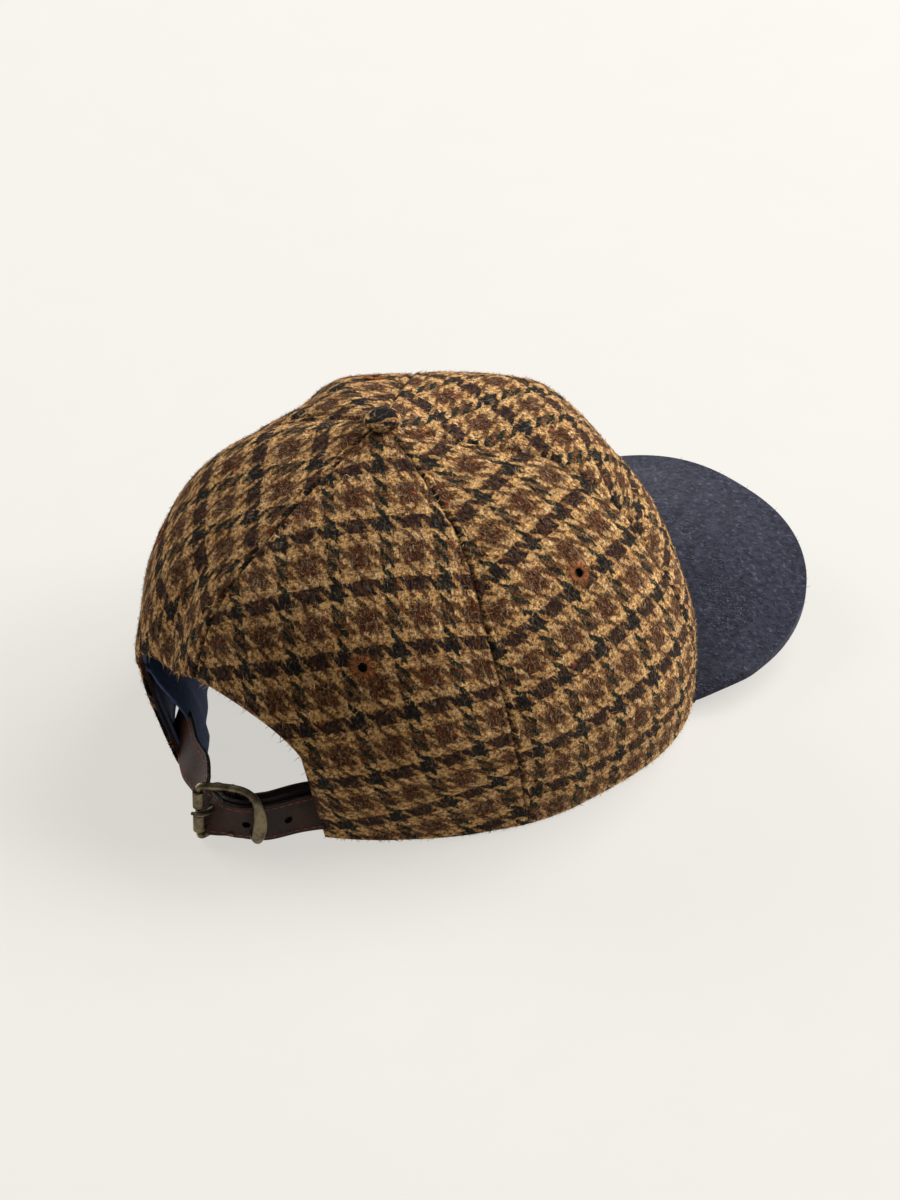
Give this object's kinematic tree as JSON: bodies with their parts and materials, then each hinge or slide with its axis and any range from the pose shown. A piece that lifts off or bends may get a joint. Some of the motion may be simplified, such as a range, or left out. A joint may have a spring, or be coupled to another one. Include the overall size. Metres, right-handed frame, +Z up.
{
  "type": "five-panel cap",
  "caption": "Soft woollen cap with a round panelled crown, stiff bent peak, covered button, stitched eyelets and a leather strap with a brass buckle over the rear arch.",
  "frame": {"origin": "under the middle of the whole cap, on the plane the hem rests on", "axes": "+Z up through the crown, the peak points along -Y, the wearer's right is -X"},
  "size_m": [0.189, 0.276, 0.131],
  "materials": {
    "tweed": "brushed woollen tweed in a brown check",
    "navy_wool": "felted navy wool",
    "lining": "navy cotton twill",
    "leather": "dark brown, smooth",
    "brass": "antique, worn",
    "thread": "brown embroidery thread"
  },
  "bodies": {
    "root": {"front_panel": "tweed", "side_panel_right": "tweed", "back_panel_right": "tweed", "back_panel_left": "tweed", "side_panel_left": "tweed", "eyelet_side_right": "thread", "eyelet_back_right": "thread", "eyelet_back_left": "thread", "eyelet_side_left": "thread", "top_button": "tweed", "peak": "navy_wool", "sweatband": "lining", "arch_binding": "lining", "strap_long": "leather", "buckle_frame": "brass", "roller_upper": "brass", "roller_lower": "brass", "prong": "brass", "strap_short": "leather"}
  },
  "joints": []
}
